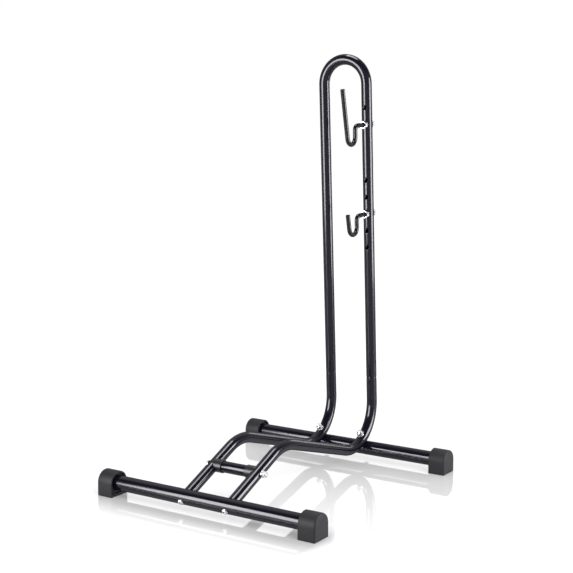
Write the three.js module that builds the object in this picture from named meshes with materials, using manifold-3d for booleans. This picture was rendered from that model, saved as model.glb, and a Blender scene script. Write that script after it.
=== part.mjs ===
// Floor bike rack: two base tubes on four caps, two bent side tubes that form the wheel
// ramp and the posts, a loop on top of the posts, and two hooks in one leg of the loop.
// Millimetres, +X along the base tubes, +Y from the front to the rear, +Z up.
// The origin is on the floor, under the middle of the rack.
import * as THREE from "three";
import { mergeVertices } from "three/addons/utils/BufferGeometryUtils.js";
import Module from "manifold-3d";

// ---- overall ----
const rackHeight = 740;
const rackWidth = 432;
const seat = 0.3;

// ---- tubes ----
const baseTubeRadius = 12.7;
const baseTubeWall = 1.5;
const baseTubeHeight = 22;
const frameTubeRadius = 9.5;
const frameTubeWall = 1.2;

// ---- side tubes: ramp, knee, deck, valley and post, in the plane of Y and Z ----
const sideTubeSpacing = 88;
const rampAngle = THREE.MathUtils.degToRad(24.4);
const rampLength = 165.3;
const kneeRadius = 90;
const deckAngle = THREE.MathUtils.degToRad(-16.1);
const deckLength = 313.9;
const valleyRadius = 75;
const postLean = THREE.MathUtils.degToRad(2.95);
const seamHeight = 152.5;
const spigotLength = 42;
const swageLength = 6;

// ---- foot caps ----
const footLength = 31;
const footDepth = 40;
const footEndWall = 5;
const footRim = 3;
const footRecess = 4;
const footChamfer = 1.5;
const grooveCount = 4;
const groovePitch = 7.4;
const grooveWidth = 3;
const grooveDepth = 2;

// ---- cross tube between the ramps ----
const crossTubeDistance = 84.5;
const crossTubeRadius = 9.5;
const crossTubeWall = 1.2;
const collarWall = 1.5;
const collarLength = 10.5;
const collarWeb = 4;
const collarWrap = 7.5;

// ---- bolts, washers and nuts ----
const boltRadius = 3;
const boltHeadRadius = 5.25;
const boltHeadHeight = 3.3;
const socketAcrossFlats = 4;
const socketDepth = 2;
const washerRadius = 6;
const washerThickness = 1.6;
const boltNutAcrossFlats = 10;
const boltNutHeight = 5;
const boltEndProud = 3.5;
const insertLength = 24;

// ---- hooks ----
const hookRodRadius = 4;
const hookReach = 42.5;
const hookDrop = 32;
const hookElbowRadius = 8;
const hookBowlRadius = 13.2;
const hookTipLean = THREE.MathUtils.degToRad(9);
const upperHookTip = 65;
const lowerHookTip = 5.5;
const hookNutAcrossFlats = 13;
const hookNutHeight = 6.5;
const hookEndProud = 3.5;
const hookHolePitch = 30.4;
const upperHoleBelowTop = 125;
const upperHoleCount = 2;
const lowerHoleBelowTop = 345.3;
const lowerHoleCount = 5;
const lowerHookHole = 2;

// ---- facets ----
const tubeSides = 16;
const baseTubeSides = 24;
const rodSides = 12;
const kneeSteps = 5;
const valleySteps = 11;
const loopSteps = 16;
const elbowSteps = 4;
const bowlSteps = 10;
const footArcSteps = 10;

// ---- finishes ----
const blackPowderCoat = new THREE.MeshStandardMaterial({ color: 0x17171c, roughness: 0.25, metalness: 0.1 });
const greyPlastic = new THREE.MeshStandardMaterial({ color: 0x434348, roughness: 0.6, metalness: 0 });
const collarPlastic = new THREE.MeshStandardMaterial({ color: 0x2c2c31, roughness: 0.4, metalness: 0 });
const brightZinc = new THREE.MeshStandardMaterial({ color: 0xd8d9dc, roughness: 0.28, metalness: 1 });
const hookCoating = new THREE.MeshStandardMaterial({ color: 0x3a3a3f, roughness: 0.35, metalness: 0.2 });

const wasm = await Module();
wasm.setup();

// ---- joining and cutting ----
function toSolid(geometry) {
  const plain = geometry.clone();
  plain.deleteAttribute("normal");
  plain.deleteAttribute("uv");
  const merged = mergeVertices(plain, 1e-4);
  return new wasm.Manifold(new wasm.Mesh({
    numProp: 3,
    vertProperties: new Float32Array(merged.attributes.position.array),
    triVerts: new Uint32Array(merged.index.array),
  }));
}

function toGeometry(solid) {
  const mesh = solid.getMesh();
  const geometry = new THREE.BufferGeometry();
  geometry.setAttribute("position", new THREE.BufferAttribute(new Float32Array(mesh.vertProperties), 3));
  geometry.setIndex(new THREE.BufferAttribute(new Uint32Array(mesh.triVerts), 1));
  geometry.computeVertexNormals();
  return geometry;
}

function cut(geometry, cutters) {
  return toGeometry(cutters.reduce((left, cutter) => left.subtract(toSolid(cutter)), toSolid(geometry)));
}

// A round bar along a direction, from one distance to another, measured from a point.
function bar(point, direction, from, to, radius, sides) {
  const geometry = new THREE.CylinderGeometry(radius, radius, to - from, sides);
  geometry.translate(0, (from + to) / 2, 0);
  geometry.applyQuaternion(new THREE.Quaternion().setFromUnitVectors(new THREE.Vector3(0, 1, 0), direction));
  geometry.translate(point.x, point.y, point.z);
  return geometry;
}

// ---- paths in a plane: each station is a point, a heading from +Y towards +Z, and radii ----
function station(y, z, heading, outer, inner) {
  return { y, z, heading, outer, inner };
}

function move(from, distance, changes = {}) {
  const y = from.y + distance * Math.cos(from.heading);
  const z = from.z + distance * Math.sin(from.heading);
  return { ...from, y, z, ...changes };
}

// The stations of a bend that starts at a station and turns it to a new heading.
function bend(from, heading, radius, steps) {
  const turn = heading - from.heading;
  const side = Math.sign(turn);
  const centreY = from.y - side * radius * Math.sin(from.heading);
  const centreZ = from.z + side * radius * Math.cos(from.heading);
  return Array.from({ length: steps + 1 }, (_, step) => {
    const angle = from.heading + (turn * step) / steps;
    const y = centreY + side * radius * Math.sin(angle);
    const z = centreZ - side * radius * Math.cos(angle);
    return { ...from, y, z, heading: angle };
  });
}

function bendSetback(turn, radius) {
  return radius * Math.abs(Math.tan(turn / 2));
}

// A tube, or a solid rod where the inner radius is 0, through a list of stations.
function sweep(stations, sides) {
  const hollow = stations[0].inner > 0;
  const positions = [];
  const ring = (at, radius) => {
    for (let side = 0; side < sides; side += 1) {
      const angle = (2 * Math.PI * (side + 0.5)) / sides;
      const across = radius * Math.sin(angle);
      const above = radius * Math.cos(angle);
      positions.push(across, at.y - above * Math.sin(at.heading), at.z + above * Math.cos(at.heading));
    }
  };
  stations.forEach((at) => ring(at, at.outer));
  if (hollow) stations.forEach((at) => ring(at, at.inner));
  const index = [];
  const quad = (a, b, c, d) => index.push(a, b, c, a, c, d);
  const skin = (first, outward) => {
    for (let row = 0; row < stations.length - 1; row += 1) {
      for (let side = 0; side < sides; side += 1) {
        const a = first + row * sides + side;
        const b = first + row * sides + ((side + 1) % sides);
        if (outward) quad(a, b, b + sides, a + sides);
        else quad(a, a + sides, b + sides, b);
      }
    }
  };
  skin(0, true);
  const inside = stations.length * sides;
  const lastRow = (stations.length - 1) * sides;
  if (hollow) skin(inside, false);
  for (let side = 0; side < sides; side += 1) {
    const next = (side + 1) % sides;
    if (hollow) {
      quad(side, inside + side, inside + next, next);
      quad(lastRow + side, lastRow + next, inside + lastRow + next, inside + lastRow + side);
    } else if (side > 0 && side < sides - 1) {
      index.push(0, next, side);
      index.push(lastRow, lastRow + side, lastRow + next);
    }
  }
  const geometry = new THREE.BufferGeometry();
  geometry.setAttribute("position", new THREE.Float32BufferAttribute(positions, 3));
  geometry.setIndex(index);
  geometry.computeVertexNormals();
  return geometry;
}

// ---- where the pieces meet, with the front base tube's axis at Y 0 ----
const tubeBore = frameTubeRadius - frameTubeWall;
const postHeading = Math.PI / 2 + postLean;
const boltHoleRadius = boltRadius + seat;
const hookHoleRadius = hookRodRadius + seat;
const railX = sideTubeSpacing / 2;

const rampStart = station(0, baseTubeHeight, rampAngle, frameTubeRadius, tubeBore);
const kneeTurn = rampAngle - deckAngle;
const valleyTurn = postHeading - deckAngle;
const kneeSetback = bendSetback(kneeTurn, kneeRadius);
const valleySetback = bendSetback(valleyTurn, valleyRadius);
const knee = bend(move(rampStart, rampLength - kneeSetback), deckAngle, kneeRadius, kneeSteps);
const valleyStart = move(knee.at(-1), deckLength - kneeSetback - valleySetback);
const valley = bend(valleyStart, postHeading, valleyRadius, valleySteps);
const postFoot = valley.at(-1);
const seam = move(postFoot, (seamHeight - postFoot.z) / Math.sin(postHeading));
const alongPost = (height) => move(seam, (height - seamHeight) / Math.sin(postHeading));

// The rear base tube touches the outside of the valley bend. The bolt points at the bend's centre.
const valleyCentreY = valleyStart.y - valleyRadius * Math.sin(deckAngle);
const valleyCentreZ = valleyStart.z + valleyRadius * Math.cos(deckAngle);
const rearTubeOffset = valleyRadius + frameTubeRadius + seat + baseTubeRadius;
const rearBoltAngle = Math.acos((valleyCentreZ - baseTubeHeight) / rearTubeOffset);
const rearTubeY = valleyCentreY + rearTubeOffset * Math.sin(rearBoltAngle);
const rearBoltUp = new THREE.Vector3(0, -Math.sin(rearBoltAngle), Math.cos(rearBoltAngle));
const frontBoltIn = new THREE.Vector3(0, Math.cos(rampAngle), Math.sin(rampAngle));
const along = new THREE.Vector3(1, 0, 0);

const rackFront = -footDepth / 2;
const postRear = Math.max(...valley.map((at) => at.y - frameTubeRadius * Math.sin(-at.heading)));
const rackRear = Math.max(rearTubeY + footDepth / 2, postRear);
const originY = (rackFront + rackRear) / 2;

const cross = move(rampStart, crossTubeDistance);
const rack = new THREE.Group();
rack.position.y = -originY;

function add(parent, name, geometry, material, place = [0, 0, 0]) {
  const mesh = new THREE.Mesh(geometry, material);
  mesh.name = name;
  mesh.position.set(...place);
  parent.add(mesh);
  return mesh;
}

const sides = [["left", -1], ["right", 1]];
const ends = [["front", 0], ["rear", rearTubeY]];

// ---- base tubes ----
function baseTube(boltDirection) {
  const half = rackWidth / 2 - footEndWall - seat;
  const bore = baseTubeRadius - baseTubeWall;
  const profile = [[bore, -half], [baseTubeRadius, -half], [baseTubeRadius, half], [bore, half], [bore, -half]];
  const tube = new THREE.LatheGeometry(profile.map(([r, h]) => new THREE.Vector2(r, h)), baseTubeSides);
  tube.rotateZ(-Math.PI / 2);
  const reach = baseTubeRadius + 2;
  const holes = sides.map(([, sign]) =>
    bar(new THREE.Vector3(sign * railX, 0, 0), boltDirection, -reach, reach, boltHoleRadius, rodSides));
  return cut(tube, holes);
}

add(rack, "front_base_tube", baseTube(frontBoltIn), blackPowderCoat, [0, 0, baseTubeHeight]);
add(rack, "rear_base_tube", baseTube(rearBoltUp), blackPowderCoat, [0, rearTubeY, baseTubeHeight]);

// ---- foot caps: an arch over a flat sole with grooves, and a socket for the base tube ----
function archShape(radius, below) {
  const shape = new THREE.Shape();
  shape.moveTo(-radius, -below);
  shape.lineTo(radius, -below);
  shape.absarc(0, 0, radius, 0, Math.PI, false);
  shape.closePath();
  return shape;
}

function footCap() {
  const cap = new THREE.ExtrudeGeometry(archShape(footDepth / 2, baseTubeHeight), {
    depth: footLength - 2 * footChamfer,
    curveSegments: footArcSteps,
    bevelThickness: footChamfer,
    bevelSize: footChamfer,
    bevelOffset: -footChamfer,
    bevelSegments: 1,
  });
  cap.translate(0, 0, footChamfer);
  const recess = new THREE.ExtrudeGeometry(archShape(footDepth / 2 - footRim, baseTubeHeight - footRim - grooveDepth), {
    depth: 2 * footRecess,
    curveSegments: footArcSteps,
    bevelEnabled: false,
  });
  recess.translate(0, 0, -footRecess);
  const socket = bar(new THREE.Vector3(0, 0, 0), new THREE.Vector3(0, 0, 1), -footRecess,
    footLength - footEndWall, baseTubeRadius + seat, baseTubeSides);
  const grooves = Array.from({ length: grooveCount }, (_, groove) => {
    const box = new THREE.BoxGeometry(grooveWidth, 2 * grooveDepth, 2 * footLength);
    box.translate((groove - (grooveCount - 1) / 2) * groovePitch, -baseTubeHeight, footLength);
    return box;
  });
  const whole = cut(cap, [recess, socket, ...grooves]);
  whole.rotateX(Math.PI / 2);
  whole.rotateZ(Math.PI / 2);
  return whole;
}

for (const [end, endY] of ends) {
  for (const [side, sign] of sides) {
    const foot = add(rack, `${end}_${side}_foot_cap`, footCap(), greyPlastic);
    foot.position.set(sign * (rackWidth / 2 - footLength), endY, baseTubeHeight);
    foot.rotation.z = sign > 0 ? 0 : Math.PI;
  }
}

// ---- side tubes: the front end is coped to the front base tube, the top is swaged ----
const spigotRadius = tubeBore - seat;
const spigotBore = spigotRadius - frameTubeWall;

function sideTube() {
  const swageStart = move(seam, -swageLength);
  const spigotBase = { ...seam, outer: spigotRadius, inner: spigotBore };
  const stations = [rampStart, ...knee, ...valley, swageStart, spigotBase, move(spigotBase, spigotLength)];
  const boltReach = frameTubeRadius + 2;
  const crossAt = new THREE.Vector3(0, cross.y, cross.z);
  const rearTubeAt = new THREE.Vector3(0, rearTubeY, baseTubeHeight);
  return cut(sweep(stations, tubeSides), [
    bar(new THREE.Vector3(0, 0, baseTubeHeight), along, -railX, railX, baseTubeRadius + seat, baseTubeSides),
    bar(crossAt, along, -boltReach, boltReach, boltHoleRadius, rodSides),
    bar(rearTubeAt, rearBoltUp, 0, baseTubeRadius + 2 * boltReach, boltHoleRadius, rodSides),
  ]);
}

for (const [side, sign] of sides) {
  add(rack, `${side}_side_tube`, sideTube(), blackPowderCoat, [sign * railX, 0, 0]);
}

// ---- loop: two legs and a half circle, in a frame that leans with the posts ----
const loop = new THREE.Group();
loop.position.set(0, seam.y, seam.z);
loop.rotation.x = postLean;
rack.add(loop);

const loopLegTop = (rackHeight - frameTubeRadius - seamHeight) / Math.cos(postLean) - railX;
const upLoop = (height) => (height - seamHeight) / Math.cos(postLean);
const upperHoleHeight = rackHeight - upperHoleBelowTop;
const lowerHoleHeight = rackHeight - lowerHoleBelowTop;
const holeHeights = [
  ...Array.from({ length: upperHoleCount }, (_, hole) => upperHoleHeight + hole * hookHolePitch),
  ...Array.from({ length: lowerHoleCount }, (_, hole) => lowerHoleHeight + hole * hookHolePitch),
];

function loopTube() {
  const leg = station(0, seat, Math.PI / 2, frameTubeRadius, tubeBore);
  const legTop = { ...leg, z: loopLegTop };
  const arch = bend(legTop, Math.PI * 1.5, railX, loopSteps);
  const farEnd = { ...arch.at(-1), z: seat };
  const tube = sweep([leg, ...arch, farEnd], tubeSides);
  tube.rotateZ(-Math.PI / 2);
  tube.translate(railX, 0, 0);
  const reach = frameTubeRadius + 2;
  const back = new THREE.Vector3(0, 1, 0);
  return cut(tube, holeHeights.map((height) =>
    bar(new THREE.Vector3(railX, 0, upLoop(height)), back, -reach, reach, hookHoleRadius, rodSides)));
}

add(loop, "loop_tube", loopTube(), blackPowderCoat);

// ---- cross tube and the two saddle collars that carry it ----
const collarRadius = crossTubeRadius + collarWall;
const collarStart = railX - frameTubeRadius - collarLength;
const crossTubeHalf = railX - frameTubeRadius - seat - collarWeb;

function crossTube() {
  const bore = crossTubeRadius - crossTubeWall;
  const profile = [[bore, -1], [crossTubeRadius, -1], [crossTubeRadius, 1], [bore, 1], [bore, -1]];
  const points = profile.map(([r, end]) => new THREE.Vector2(r, end * (crossTubeHalf - seat)));
  const tube = new THREE.LatheGeometry(points, tubeSides);
  tube.rotateZ(-Math.PI / 2);
  return tube;
}

function collar() {
  const centre = new THREE.Vector3(0, 0, 0);
  const whole = bar(centre, along, collarStart, railX - frameTubeRadius + collarWrap, collarRadius, baseTubeSides);
  const rampTube = bar(new THREE.Vector3(railX, 0, 0), frontBoltIn, -railX, railX, frameTubeRadius + seat, tubeSides);
  return cut(whole, [
    rampTube,
    bar(centre, along, 0, crossTubeHalf, crossTubeRadius + seat, tubeSides),
    bar(centre, along, 0, railX, boltHoleRadius, rodSides),
  ]);
}

add(rack, "cross_tube", crossTube(), blackPowderCoat, [0, cross.y, cross.z]);
for (const [side, sign] of sides) {
  const geometry = collar();
  if (sign < 0) {
    geometry.scale(-1, 1, 1);
    geometry.index.array.reverse();
    geometry.computeVertexNormals();
  }
  add(rack, `${side}_cross_tube_collar`, geometry, collarPlastic, [0, cross.y, cross.z]);
}

// ---- fasteners, each along its own +X from the face that its head or nut sits on ----
function buttonBolt(length) {
  const dome = (lift) => new THREE.Vector2(boltHeadRadius * Math.sqrt(1 - lift * lift), -boltHeadHeight * lift);
  const profile = [
    dome(1), dome(0.88), dome(0.65), dome(0.35), dome(0),
    new THREE.Vector2(boltRadius, 0),
    new THREE.Vector2(boltRadius, length),
    new THREE.Vector2(0, length),
  ];
  const bolt = new THREE.LatheGeometry(profile, tubeSides);
  bolt.rotateZ(-Math.PI / 2);
  const socket = bar(new THREE.Vector3(0, 0, 0), along, -boltHeadHeight - 1, -boltHeadHeight + socketDepth,
    socketAcrossFlats / Math.sqrt(3), 6);
  return cut(bolt, [socket]);
}

function washer() {
  const profile = [[boltHoleRadius, 0], [washerRadius, 0], [washerRadius, 1], [boltHoleRadius, 1], [boltHoleRadius, 0]];
  const points = profile.map(([r, end]) => new THREE.Vector2(r, end * washerThickness));
  const ring = new THREE.LatheGeometry(points, tubeSides);
  ring.rotateZ(-Math.PI / 2);
  return ring;
}

function hexNut(acrossFlats, height, holeRadius) {
  const shape = new THREE.Shape();
  const corner = acrossFlats / Math.sqrt(3);
  for (let point = 0; point < 6; point += 1) {
    const angle = (point * Math.PI) / 3;
    shape[point ? "lineTo" : "moveTo"](corner * Math.cos(angle), corner * Math.sin(angle));
  }
  shape.closePath();
  shape.holes.push(new THREE.Path().absarc(0, 0, holeRadius, 0, 2 * Math.PI, true));
  const nut = new THREE.ExtrudeGeometry(shape, { depth: height, curveSegments: rodSides, bevelEnabled: false });
  nut.rotateY(Math.PI / 2);
  return nut;
}

function fastener(parent, name, geometry, material, point, direction) {
  const mesh = add(parent, name, geometry, material, point);
  mesh.quaternion.setFromUnitVectors(along, direction);
  return mesh;
}

const onLine = (point, direction, distance) => point.map((value, axis) => value + direction.getComponent(axis) * distance);
const bothWashers = 2 * (seat + washerThickness);

// Front bolts: through the front base tube into a threaded insert in each ramp's end.
const insertStart = baseTubeRadius + 3 * seat;
const frontBoltLength = baseTubeRadius + seat + insertStart + insertLength - 4;

for (const [side, sign] of sides) {
  const centre = [sign * railX, 0, baseTubeHeight];
  const bolt = buttonBolt(frontBoltLength);
  fastener(rack, `${side}_front_bolt`, bolt, brightZinc, onLine(centre, frontBoltIn, -baseTubeRadius - seat), frontBoltIn);
  const plug = cut(bar(new THREE.Vector3(0, 0, 0), along, 0, insertLength, tubeBore - seat, tubeSides),
    [bar(new THREE.Vector3(0, 0, 0), along, -1, insertLength + 1, boltHoleRadius, rodSides)]);
  fastener(rack, `${side}_ramp_insert`, plug, brightZinc, onLine(centre, frontBoltIn, insertStart), frontBoltIn);
}

// Rear bolts: up through the rear base tube and the bend, with a washer and a nut on top.
const clampedRear = 2 * baseTubeRadius + seat + 2 * frameTubeRadius;
const rearBoltLength = clampedRear + 3 * seat + washerThickness + seat + boltNutHeight + boltEndProud;

for (const [side, sign] of sides) {
  const under = onLine([sign * railX, rearTubeY, baseTubeHeight], rearBoltUp, -baseTubeRadius - seat);
  const top = seat + clampedRear + seat;
  fastener(rack, `${side}_rear_bolt`, buttonBolt(rearBoltLength), brightZinc, under, rearBoltUp);
  fastener(rack, `${side}_rear_washer`, washer(), brightZinc, onLine(under, rearBoltUp, top), rearBoltUp);
  const nut = hexNut(boltNutAcrossFlats, boltNutHeight, boltHoleRadius);
  const nutAt = onLine(under, rearBoltUp, top + washerThickness + seat);
  fastener(rack, `${side}_rear_nut`, nut, brightZinc, nutAt, rearBoltUp);
}

// Cross bolt: through both ramps and the cross tube, head on the left and nut on the right.
const crossFace = railX + frameTubeRadius + seat;
const crossBoltLength = 2 * crossFace + bothWashers + boltNutHeight + boltEndProud;
const crossPoint = (x) => [x, cross.y, cross.z];
const crossHeadX = -crossFace - washerThickness - seat;
fastener(rack, "cross_bolt", buttonBolt(crossBoltLength), brightZinc, crossPoint(crossHeadX), along);
fastener(rack, "left_cross_washer", washer(), brightZinc, crossPoint(-crossFace - washerThickness), along);
fastener(rack, "right_cross_washer", washer(), brightZinc, crossPoint(crossFace), along);
fastener(rack, "cross_nut", hexNut(boltNutAcrossFlats, boltNutHeight, boltHoleRadius), brightZinc,
  crossPoint(crossFace + washerThickness + seat), along);

// ---- hooks: a bent rod through the right leg, with a nut on each side of the tube ----
function hookRod(tipHeight) {
  const behind = frameTubeRadius + 2 * seat + hookNutHeight + hookEndProud;
  const start = station(behind, 0, Math.PI, hookRodRadius, 0);
  const elbow = bend(move(start, behind + hookReach - hookElbowRadius), Math.PI * 1.5, hookElbowRadius, elbowSteps);
  const bowlStart = { ...elbow.at(-1), z: hookBowlRadius - hookDrop };
  const bowl = bend(bowlStart, Math.PI / 2 + hookTipLean, hookBowlRadius, bowlSteps);
  const rise = (tipHeight - bowl.at(-1).z) / Math.cos(hookTipLean);
  return sweep([start, ...elbow, ...bowl, move(bowl.at(-1), rise)], rodSides);
}

const hooks = [
  ["upper", upperHoleHeight, upperHookTip],
  ["lower", lowerHoleHeight + lowerHookHole * hookHolePitch, lowerHookTip],
];
const back = new THREE.Vector3(0, 1, 0);
const front = new THREE.Vector3(0, -1, 0);

for (const [which, height, tip] of hooks) {
  const place = [railX, 0, upLoop(height)];
  add(loop, `${which}_hook`, hookRod(tip), hookCoating, place);
  for (const [where, direction] of [["front", front], ["back", back]]) {
    const nut = hexNut(hookNutAcrossFlats, hookNutHeight, hookHoleRadius);
    fastener(loop, `${which}_hook_${where}_nut`, nut, brightZinc, onLine(place, direction, frameTubeRadius + seat), direction);
  }
}

export default rack;
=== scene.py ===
import bmesh
import bpy
import numpy as np
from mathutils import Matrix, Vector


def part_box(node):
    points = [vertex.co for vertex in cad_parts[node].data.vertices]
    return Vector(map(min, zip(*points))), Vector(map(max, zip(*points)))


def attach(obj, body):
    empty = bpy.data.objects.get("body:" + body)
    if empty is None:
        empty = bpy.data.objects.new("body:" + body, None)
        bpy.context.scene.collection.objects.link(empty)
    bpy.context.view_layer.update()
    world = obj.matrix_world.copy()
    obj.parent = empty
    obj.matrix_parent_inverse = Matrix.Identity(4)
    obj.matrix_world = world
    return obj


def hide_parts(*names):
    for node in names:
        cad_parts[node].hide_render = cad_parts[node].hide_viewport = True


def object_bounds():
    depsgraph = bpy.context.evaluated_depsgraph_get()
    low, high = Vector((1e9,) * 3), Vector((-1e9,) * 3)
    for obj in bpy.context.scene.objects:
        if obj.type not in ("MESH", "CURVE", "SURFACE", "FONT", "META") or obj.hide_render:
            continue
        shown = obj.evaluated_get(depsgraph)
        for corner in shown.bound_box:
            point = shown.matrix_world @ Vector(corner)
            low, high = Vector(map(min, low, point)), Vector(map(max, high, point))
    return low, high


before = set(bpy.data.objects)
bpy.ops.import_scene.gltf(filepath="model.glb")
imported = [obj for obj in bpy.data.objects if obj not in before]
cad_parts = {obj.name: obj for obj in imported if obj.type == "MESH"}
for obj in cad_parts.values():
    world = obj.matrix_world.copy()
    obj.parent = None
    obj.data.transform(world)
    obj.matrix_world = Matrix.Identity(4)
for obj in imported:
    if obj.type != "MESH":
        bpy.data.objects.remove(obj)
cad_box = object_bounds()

# ---- base tubes ----
# Two straight 25.4 mm steel tubes lie across the rack, one in front and one at the rear.
# Each is sawn from drawn tube, drilled for two bolts, sprayed with gloss black powder and
# baked, and pushed into a foot cap at each end.
MM = 0.001
X, Y, Z = np.eye(3)
MERGE_DISTANCE = 1e-7
SAME_POINT = 1e-9
CORNER_STEPS = 5
CREASE_ANGLE = 35


def middle(node):
    """The middle of a CAD node's box, in millimetres."""
    low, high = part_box(node)
    return (np.array(low) + np.array(high)) / (2 * MM)


def unit(vector):
    """A vector divided by its length."""
    return vector / np.linalg.norm(vector)


def bent_line(start, first, second, legs, heading=0.0):
    """A line of straight and curved legs, each (length, turn), in the plane of two directions.
    The chord to a distance t along a leg is t * sin(h) / h long, h being half the turn so far,
    and points along the mean heading, so one formula serves straight and curved legs."""
    lengths, turns = np.array(legs, float).T
    begins = np.cumsum(lengths) - lengths
    headings = heading + np.cumsum(turns) - turns
    rates = turns / lengths

    def chord(leg, reach):
        half = rates[leg] * reach / 2
        mean = headings[leg] + half
        return (reach * np.sinc(half / np.pi))[..., None] * np.stack([np.cos(mean), np.sin(mean)], -1)

    chords = chord(np.arange(len(lengths)), lengths)
    corners = np.cumsum(chords, 0) - chords

    def line(distance):
        distance = np.asarray(distance, float)
        leg = np.maximum(np.searchsorted(begins, distance, side="right") - 1, 0)
        reach = distance - begins[leg]
        flat = corners[leg] + chord(leg, reach)
        turned = (headings[leg] + rates[leg] * reach)[..., None]
        point = start + flat[..., :1] * first + flat[..., 1:] * second
        return point, np.cos(turned) * second - np.sin(turned) * first, np.cross(first, second)

    return line


def straight_line(start, direction, normal):
    """A straight line from a point, whose rings count their angle from a normal."""
    return bent_line(start, direction, normal, [(1.0, 0.0)])


def profile(corners, spacing=None, closed=True):
    """An outline in (distance, radius) from corners (distance, radius, rounding). A corner P is
    cut back to A and B on its two sides, and drawn as (1-t)^2 A + 2t(1-t) P + t^2 B. With a
    spacing, points are added so that none stand further apart along the outline."""
    corners = np.array(corners, float)
    at, rounding = corners[:, None, :2], corners[:, None, 2:]
    before, after = np.roll(at, 1, 0) - at, np.roll(at, -1, 0) - at
    start = at + rounding * before / np.linalg.norm(before, axis=-1, keepdims=True)
    end = at + rounding * after / np.linalg.norm(after, axis=-1, keepdims=True)
    t = np.linspace(0, 1, CORNER_STEPS)[:, None]
    outline = ((1 - t) ** 2 * start + 2 * t * (1 - t) * at + t**2 * end).reshape(-1, 2)
    if closed:
        outline = np.vstack([outline, outline[:1]])
    steps = np.linalg.norm(np.diff(outline, axis=0), axis=1)
    apart = steps > SAME_POINT
    outline = outline[np.concatenate([[True], apart])]
    reach = np.concatenate([[0.0], np.cumsum(steps[apart])])
    stops = reach
    if spacing:
        stops = np.union1d(stops, np.arange(0.0, reach[-1], spacing))
    if closed:
        stops = stops[:-1]
    return [np.interp(stops, reach, column)[:, None] for column in outline.T]


def carried(line, distance, radius, sides):
    """Rings carried along a line. The point at angle a is the line's point at its distance, plus
    the radius times cos a along the line's normal and sin a across its plane."""
    angle = 2 * np.pi * (np.arange(sides) + 0.5) / sides
    distance, radius, angle = np.broadcast_arrays(distance, radius, angle)
    point, normal, across = line(distance)
    out = np.cos(angle)[..., None] * normal + np.sin(angle)[..., None] * across
    return point + radius[..., None] * out


def quads(index):
    """The four-sided faces of a grid, from the numbers of its points."""
    corners = [index[:-1, :-1], index[:-1, 1:], index[1:, 1:], index[1:, :-1]]
    return np.stack(corners, -1).reshape(-1, 4)


def skin(name, *grids, closed=False):
    """A mesh from grids of points in millimetres. A row is a ring, and a face joins a point, the
    next in its ring, and the same two in the next row. Closed joins the last row to the first.
    Points that coincide become one, so a row of radius 0 closes as a pole."""
    faces, first = [], 0
    for grid in grids:
        rows, columns = grid.shape[:2]
        index = first + np.arange(rows * columns).reshape(rows, columns)
        index = np.vstack([index, index[:1]]) if closed else index
        index = np.hstack([index, index[:, :1]])
        faces.append(quads(index))
        first += rows * columns
    points = np.concatenate([grid.reshape(-1, 3) for grid in grids]) * MM
    mesh = bpy.data.meshes.new(name)
    mesh.from_pydata(points.tolist(), [], np.concatenate(faces).tolist())
    merged = bmesh.new()
    merged.from_mesh(mesh)
    bmesh.ops.remove_doubles(merged, verts=merged.verts, dist=MERGE_DISTANCE)
    merged.to_mesh(mesh)
    merged.free()
    piece = bpy.data.objects.new(name, mesh)
    bpy.context.scene.collection.objects.link(piece)
    return piece


def cut_away(piece, *cutters):
    """Takes each cutter's space out of a piece, and removes the cutters."""
    for cutter in cutters:
        modifier = piece.modifiers.new("cut", "BOOLEAN")
        modifier.operation = "DIFFERENCE"
        modifier.solver = "EXACT"
        modifier.object = cutter
    left = piece.evaluated_get(bpy.context.evaluated_depsgraph_get())
    mesh = bpy.data.meshes.new_from_object(left)
    piece.modifiers.clear()
    piece.data = mesh
    for cutter in cutters:
        bpy.data.objects.remove(cutter)


def smooth(piece, finish, crease=CREASE_ANGLE):
    """Gives a piece its finish, and shades faces that meet under the crease angle as one curve."""
    piece.data.materials.clear()
    piece.data.materials.append(finish)
    piece.data.shade_smooth()
    piece.data.set_sharp_from_angle(angle=np.radians(crease))


HOLE_SIDES = 48
DRILL_OVERSHOOT = 2.0


def drilled(centre, out, along, hole_radius, tube_radius, lip):
    """The space that a drilled hole takes from one wall of a tube. The wall stands
    sqrt(R^2 - x^2) from the tube's middle, x being the distance to its side, and each ring
    follows that saddle while it opens from the hole's radius to the lip's in a quarter circle."""
    angle = 2 * np.pi * np.arange(HOLE_SIDES) / HOLE_SIDES
    opening = np.linspace(0, np.pi / 2, CORNER_STEPS)[:, None]
    lip_radius = hole_radius + lip * (1 - np.cos(opening))
    saddle = np.sqrt(tube_radius**2 - (lip_radius * np.sin(angle)) ** 2)
    lip_height = saddle - lip * (1 - np.sin(opening))
    inside = np.full((2, HOLE_SIDES), tube_radius / 2)
    outside = np.full((2, HOLE_SIDES), tube_radius + DRILL_OVERSHOOT)
    radius = np.vstack([[[0.0]], [[hole_radius]], lip_radius, lip_radius[-1:], [[0.0]]]) + 0 * angle
    height = np.vstack([inside, lip_height, outside])
    flat = np.cos(angle)[:, None] * along + np.sin(angle)[:, None] * np.cross(out, along)
    return centre + radius[..., None] * flat + height[..., None] * out


class Number:
    """A number that changes over a surface. Each sign used on it adds a Math node."""

    def __init__(self, shade, socket):
        self.shade, self.socket = shade, socket

    def math(self, operation, *values):
        node = self.shade.add("ShaderNodeMath", {"operation": operation}, dict(enumerate(values)))
        return Number(self.shade, node.outputs[0])

    def __add__(self, other):
        return self.math("ADD", self, other)

    def __rsub__(self, other):
        return self.math("SUBTRACT", other, self)

    def __mul__(self, other):
        return self.math("MULTIPLY", self, other)

    __radd__, __rmul__ = __add__, __mul__

    def __abs__(self):
        return self.math("ABSOLUTE", self)

    def larger(self, other):
        return self.math("MAXIMUM", self, other)


LACQUER_FULL = 0.48
LACQUER_RIM = 0.78


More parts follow.
